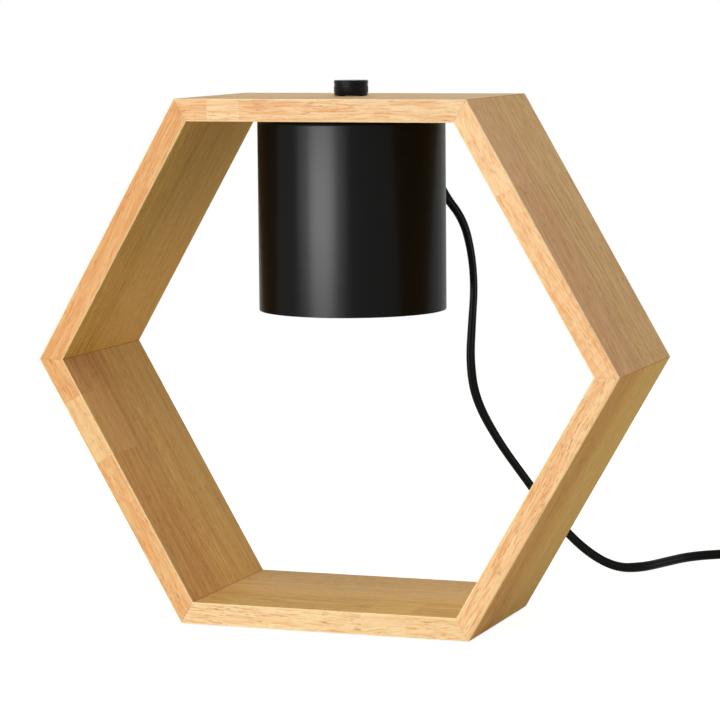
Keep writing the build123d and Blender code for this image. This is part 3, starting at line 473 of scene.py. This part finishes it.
# ------------------------------------------------------------------ supply cord
# Millimetres: out of the strain relief, down behind the frame, along the table, round
# the coil inwards and outwards again, and on to the plug.
cord_width = 5.2
cord_thickness = 3.2
outline_points = 32  # round its section
route = [
    (0.0, 68.1, 241.0),
    (0.0, 79.6, 241.0),
    (0.6, 91.2, 237.8),
    (2.6, 100.9, 230.7),
    (5.4, 107.3, 220.2),
    (11.0, 109.9, 206.0),
    (21.4, 110.6, 193.0),
    (26.0, 110.4, 176.5),
    (27.8, 110.1, 157.8),
    (26.4, 109.9, 138.1),
    (25.2, 109.8, 117.5),
    (27.6, 111.5, 97.4),
    (38.2, 117.0, 74.9),
    (51.8, 126.6, 52.1),
    (64.7, 136.9, 29.6),
    (79.3, 144.4, 12.7),
    (93.4, 152.0, 3.4),
    (105.5, 162.7, 2.6),
    (112.7, 181.3, 2.6),
    (122.2, 204.5, 2.6),
    (144.2, 219.7, 2.6),
]
coil_centre = (187.0, 211.0)
coil_outer_turn = 35.072
coil_pitch = 3.3
layer_turns = 3.683
entry_angle = 132.0
turn_points = 16
layer_step_turns = 0.62  # over which the cord climbs from the lower layer to the upper
tuck_turns = 0.22  # over which it is tucked in there
tuck = 0.7
plug_height = 6.5

# Along the cord: a distance from its start, the compass bearing of its width in degrees,
# and how far that width stands upright, from 0 to 1.
twist = np.array(
    [
        (0.0, 0.0, 0.0),
        (28.0, 0.0, 0.0),
        (60.0, 48.0, 0.0),
        (75.0, 70.0, 0.0),
        (97.0, 84.0, 0.0),
        (130.0, 88.0, 0.0),
        (150.0, 62.0, 0.0),
        (176.0, 38.0, 0.0),
        (200.0, 80.0, 0.0),
        (215.0, 92.0, 0.0),
        (240.0, 76.0, 0.0),
        (262.0, 50.0, 0.0),
        (300.0, 55.0, 0.1),
        (315.0, 60.0, 0.25),
        (330.0, 60.0, 0.75),
        (345.0, 60.0, 1.0),
    ]
)


def coil_points():
    """Turns clockwise from the entry angle: the radius shrinks by a pitch each turn to
    half way and grows again after it, and the height eases from layer to layer there."""
    count = int(round(2 * layer_turns * turn_points)) + 1
    turned = np.linspace(0.0, 2 * layer_turns, count)
    angle = np.radians(entry_angle - 360.0 * turned)
    inwards = np.minimum(turned, 2 * layer_turns - turned)
    step = np.clip((turned - layer_turns) / layer_step_turns + 0.5, 0.0, 1.0)
    tucked = tuck * np.exp(-(((turned - layer_turns) / tuck_turns) ** 2))
    radius = coil_outer_turn - coil_pitch * inwards - tucked
    x = coil_centre[0] + radius * np.cos(angle)
    y = coil_centre[1] + radius * np.sin(angle)
    height = cord_width / 2 + cord_width * step * step * (3.0 - 2.0 * step)
    return np.stack([x, y, height], axis=1)


tail_x = coil_centre[0] + coil_outer_turn
tail = [
    (tail_x, coil_centre[1] - 11.3, 7.8),
    (tail_x + 1.5, coil_centre[1] - 22.7, plug_height),
    (tail_x + 1.5, coil_centre[1] - 34.0, plug_height),
]
points = np.concatenate([np.array(route), coil_points(), np.array(tail)]) / 1000.0

curve = bpy.data.curves.new("cord_route", "CURVE")
curve.dimensions = "3D"
spline = curve.splines.new("NURBS")
spline.points.add(len(points) - 1)
spline.points.foreach_set("co", np.column_stack([points, np.ones(len(points))]).ravel())
spline.order_u = 3
spline.use_endpoint_u = True
spline.resolution_u = 8
guide = bpy.data.objects.new("cord_route", curve)
scene.collection.objects.link(guide)
bpy.context.view_layer.update()
line_mesh = bpy.data.meshes.new_from_object(guide)
line = np.empty(3 * len(line_mesh.vertices))
line_mesh.vertices.foreach_get("co", line)
line = line.reshape(-1, 3)
bpy.data.objects.remove(guide)
bpy.data.meshes.remove(line_mesh)


def unit(vectors):
    """Each vector over its own length."""
    return vectors / np.linalg.norm(vectors, axis=-1, keepdims=True)


def smooth(values, width=41):
    """A running mean, weighted by a raised cosine, with the end values held."""
    kernel = np.hanning(width) / np.hanning(width).sum()
    return np.convolve(np.pad(values, width // 2, mode="edge"), kernel, mode="valid")


def make_piece(name, grid, uv, body, material):
    """A tube over a grid of points, rows along it and columns round it. Its end rows are
    filled by one face each. A uv pair for every point is kept."""
    rows, columns = grid.shape[:2]
    starts = np.arange(rows - 1)[:, None] * columns
    around = np.arange(columns)
    first = (starts + around).ravel()
    after = (starts + (around + 1) % columns).ravel()
    faces = np.stack([first, after, after + columns, first + columns], axis=1).tolist()
    faces.append(list(range(columns))[::-1])
    faces.append(list(range((rows - 1) * columns, rows * columns)))
    mesh = bpy.data.meshes.new(name)
    mesh.from_pydata(grid.reshape(-1, 3).tolist(), [], faces)
    layer = mesh.uv_layers.new(name="surface")
    corners = np.empty(len(mesh.loops), dtype=np.int32)
    mesh.loops.foreach_get("vertex_index", corners)
    layer.data.foreach_set("uv", uv.reshape(-1, 2)[corners].ravel())
    mesh.shade_smooth()
    mesh.materials.append(material)
    piece = bpy.data.objects.new(name, mesh)
    scene.collection.objects.link(piece)
    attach(piece, body)
    return piece


def twin_cord(centres):
    """Two round cores side by side: the outline is the further of two circles from the
    middle. Its width follows a direction that twists along the hang and stands upright on
    the table, cleared of what lies along the cord."""
    steps = np.linalg.norm(np.diff(centres, axis=0), axis=1)
    along = np.concatenate([[0.0], np.cumsum(steps)]) * 1000.0
    tangent = unit(np.gradient(centres, axis=0))
    stations, bearing, upright = twist.T
    heading = smooth(np.radians(np.interp(along, stations, bearing)))
    rise = smooth(np.interp(along, stations, upright))
    wish = np.stack([np.cos(heading) * (1 - rise), np.sin(heading) * (1 - rise), rise], axis=1)
    wide = unit(wish - (wish * tangent).sum(axis=1, keepdims=True) * tangent)
    flat = np.cross(tangent, wide)
    core = cord_thickness / 2000.0
    apart = cord_width / 2000.0 - core
    angle = np.linspace(0.0, 2.0 * pi, outline_points, endpoint=False)
    reach = apart * np.abs(np.cos(angle)) + np.sqrt(core**2 - (apart * np.sin(angle)) ** 2)
    width = (reach * np.cos(angle))[None, :, None]
    depth = (reach * np.sin(angle))[None, :, None]
    grid = centres[:, None] + width * wide[:, None] + depth * flat[:, None]
    degrees = angle * 57.3
    uv = np.stack(np.broadcast_arrays(along[:, None], degrees[None, :]), axis=2)
    return grid, uv


def cord_finish():
    """Soft black vinyl: a faint drawn grain along the cord, from the length along it in
    millimetres and the angle round it in degrees."""
    vinyl = Finish("cord_vinyl", roughness=0.4, specular=0.075)
    where = vinyl.put("ShaderNodeUVMap", uv_map="surface").outputs[0]
    drawn = vinyl.noise(vinyl.stretch(where, (9.0, 5.0, 1.0)), detail=3.0)
    fine = vinyl.noise(vinyl.stretch(where, (0.8, 14.0, 1.0)), detail=2.0)
    colour = vinyl.blend(drawn, (0.0025, 0.0023, 0.0018), (0.0045, 0.0042, 0.0034))
    rough = vinyl.span(drawn, 0.25, 0.75, 0.34, 0.46)
    return vinyl.wire(Base_Color=colour, Roughness=rough, Normal=vinyl.bump(fine, 0.00004, 0.4))


grid, uv = twin_cord(line)
cord = make_piece("cord", grid, uv, "lamp", cord_finish())
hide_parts("supply_cord", "supply_cord_coil", "supply_cord_tail")

# ------------------------------------------------------------------ other finishes
black_moulding = plain_finish("black_moulding", (0.012, 0.0115, 0.011), 0.42, grain=0.5)
zinc = plain_finish("zinc_plate", (0.62, 0.62, 0.63), 0.32, grain=4.0, metallic=1.0)
brass = plain_finish("brass", (0.70, 0.52, 0.24), 0.3, grain=2.0, metallic=1.0)
nickel = plain_finish("nickel", (0.66, 0.64, 0.60), 0.28, grain=2.0, metallic=1.0)
aluminium = plain_finish("plain_aluminium", (0.72, 0.73, 0.74), 0.35, metallic=1.0)
steatite = plain_finish("steatite", (0.80, 0.77, 0.70), 0.62, grain=0.8, variation=0.05)
phenolic = plain_finish("phenolic", (0.22, 0.10, 0.045), 0.5, grain=1.0)
laminate = plain_finish("circuit_laminate", (0.03, 0.16, 0.06), 0.4, grain=1.2)
pressed_board = plain_finish("pressed_board", (0.62, 0.57, 0.47), 0.85, grain=1.5)
winding = plain_finish("choke_winding", (0.42, 0.16, 0.05), 0.35, grain=0.7, depth=0.0004)
dipped = plain_finish("capacitor_dip", (0.62, 0.40, 0.05), 0.3, grain=2.0)
lacquered = plain_finish("resistor_lacquer", (0.58, 0.42, 0.24), 0.4, grain=1.0)
block_plastic = plain_finish("block_plastic", (0.03, 0.12, 0.36), 0.35, grain=1.5)
tie_fabric = plain_finish("tie_fabric", (0.02, 0.02, 0.021), 0.9, grain=0.4, depth=0.0003)
pad_foam = plain_finish("pad_foam", (0.60, 0.59, 0.56), 0.8, grain=0.5)
beech = plain_finish("dowel_beech", (0.62, 0.42, 0.24), 0.6, grain=1.5)
braid = dict(colour=(0.66, 0.63, 0.55), roughness=0.75, grain=0.4, depth=0.0002)
clear = dict(grain=6.0, variation=0.01, specular=0.5, Transmission_Weight=1.0, IOR=1.5)
finish_of = {
    "cord_relief": black_moulding,
    "cord_inner_end": black_moulding,
    "plug_body": black_moulding,
    "cord_tie": tie_fabric,
    "plug_blades": brass,
    "foot_pads": pad_foam,
    "mitre_dowels": beech,
    "dimmer_can": zinc,
    "dimmer_base": phenolic,
    "dimmer_wiper": phenolic,
    "dimmer_pins": nickel,
    "dimmer_shaft": nickel,
    "bushing_washer": zinc,
    "bushing_nut": brass,
    "knob_set_screw": black_moulding,
    "lampholder_plate": zinc,
    "insulating_sheet": pressed_board,
    "plate_spacers": zinc,
    "hanger_screws": zinc,
    "lampholder": steatite,
    "lamp_contacts": brass,
    "holder_screws": zinc,
    "holder_nuts": zinc,
    "lamp_base": steatite,
    "lamp_pins": nickel,
    "lamp_reflector": mirror_finish(),
    "lamp_front_glass": plain_finish("front_glass", (0.96, 0.97, 0.98), 0.08, **clear),
    "lamp_capsule": plain_finish("quartz", (0.97, 0.97, 0.98), 0.05, **clear),
    "circuit_board": laminate,
    "terminal_block": block_plastic,
    "filter_choke": winding,
    "filter_capacitor": dipped,
    "triac_heatsink": aluminium,
    "triac": black_moulding,
    "gate_resistors": lacquered,
    "mains_leads": plain_finish("lead_braid", **braid),
    "lamp_leads": plain_finish("lead_braid_lamp", **braid),
}
for node, material in finish_of.items():
    dress(node, material)

# ------------------------------------------------------------- floor and light
rim_points = 96
rim = np.linspace(0.0, 2.0 * pi, rim_points, endpoint=False)
floor_points = np.column_stack([np.cos(rim), np.sin(rim), np.zeros(rim_points)])
floor_mesh = bpy.data.meshes.new("floor")
floor_mesh.from_pydata(floor_points.tolist(), [], [list(range(rim_points))])
floor = bpy.data.objects.new("floor", floor_mesh)
scene.collection.objects.link(floor)


def background_ray(tree):
    """1 for rays that come from the camera, from gloss or through glass, otherwise 0."""
    path = tree.nodes.new("ShaderNodeLightPath")
    total = path.outputs["Is Camera Ray"]
    for name in ("Is Glossy Ray", "Is Transmission Ray"):
        larger = tree.nodes.new("ShaderNodeMath")
        larger.operation = "MAXIMUM"
        tree.links.new(total, larger.inputs[0])
        tree.links.new(path.outputs[name], larger.inputs[1])
        total = larger.outputs[0]
    return total


def show_background(tree, output, plain, seen):
    """Joins two shaders to the output: the second is what background rays meet."""
    both = tree.nodes.new("ShaderNodeMixShader")
    tree.links.new(background_ray(tree), both.inputs[0])
    tree.links.new(plain.outputs[0], both.inputs[1])
    tree.links.new(seen.outputs[0], both.inputs[2])
    tree.links.new(both.outputs[0], output.inputs["Surface"])


# The floor is plain pale matt. Seen directly, it glows up to white where it is lit, and
# a share of its shading stays, so that the lamp's shadow lies on it.
ground = bpy.data.materials.new("floor_white")
ground.use_nodes = True
tree = ground.node_tree
tree.nodes.clear()
lit = tree.nodes.new("ShaderNodeBsdfDiffuse")
lit.inputs["Color"].default_value = (0.8, 0.8, 0.8, 1.0)
shaded = tree.nodes.new("ShaderNodeBsdfDiffuse")
shaded.inputs["Color"].default_value = (0.5, 0.5, 0.5, 1.0)
glow = tree.nodes.new("ShaderNodeEmission")
glow.inputs["Strength"].default_value = 0.9
shown = tree.nodes.new("ShaderNodeAddShader")
tree.links.new(shaded.outputs[0], shown.inputs[0])
tree.links.new(glow.outputs[0], shown.inputs[1])
show_background(tree, tree.nodes.new("ShaderNodeOutputMaterial"), lit, shown)
floor_mesh.materials.append(ground)

# A warm dim room lights the lamp, and background rays meet white.
world = bpy.data.worlds.new("studio")
world.use_nodes = True
scene.world = world
tree = world.node_tree
tree.nodes.clear()
fill = tree.nodes.new("ShaderNodeBackground")
fill.inputs["Color"].default_value = (1.0, 0.96, 0.88, 1.0)
fill.inputs["Strength"].default_value = 0.36
sky = tree.nodes.new("ShaderNodeBackground")
sky.inputs["Color"].default_value = (1.0, 1.0, 1.0, 1.0)
sky.inputs["Strength"].default_value = 1.0
show_background(tree, tree.nodes.new("ShaderNodeOutputWorld"), fill, sky)


frame_centre = (0.0, 0.0, 0.13)  # in metres


def softbox(name, place, size, power, shape):
    """A soft flat lamp of a width and a height at a place, turned to the frame's centre."""
    lamp = bpy.data.lights.new(name, "AREA")
    lamp.shape = shape
    lamp.size, lamp.size_y = size
    lamp.energy = power
    item = bpy.data.objects.new(name, lamp)
    item.location = place
    away = np.array(place) - np.array(frame_centre)
    turn = np.arctan2(away[0], -away[1])
    tilt = np.arctan2(np.hypot(away[0], away[1]), away[2])
    item.rotation_euler = (tilt, 0.0, turn)
    scene.collection.objects.link(item)


softbox("key", (-0.41, -1.40, 0.115), (0.9, 0.14), 9.9, "ELLIPSE")
softbox("key_skirt", (-0.45, -1.41, 0.115), (1.85, 0.16), 9.5, "ELLIPSE")
softbox("overhead", (0.3, -0.9, 1.75), (1.2, 1.2), 9.8, "RECTANGLE")
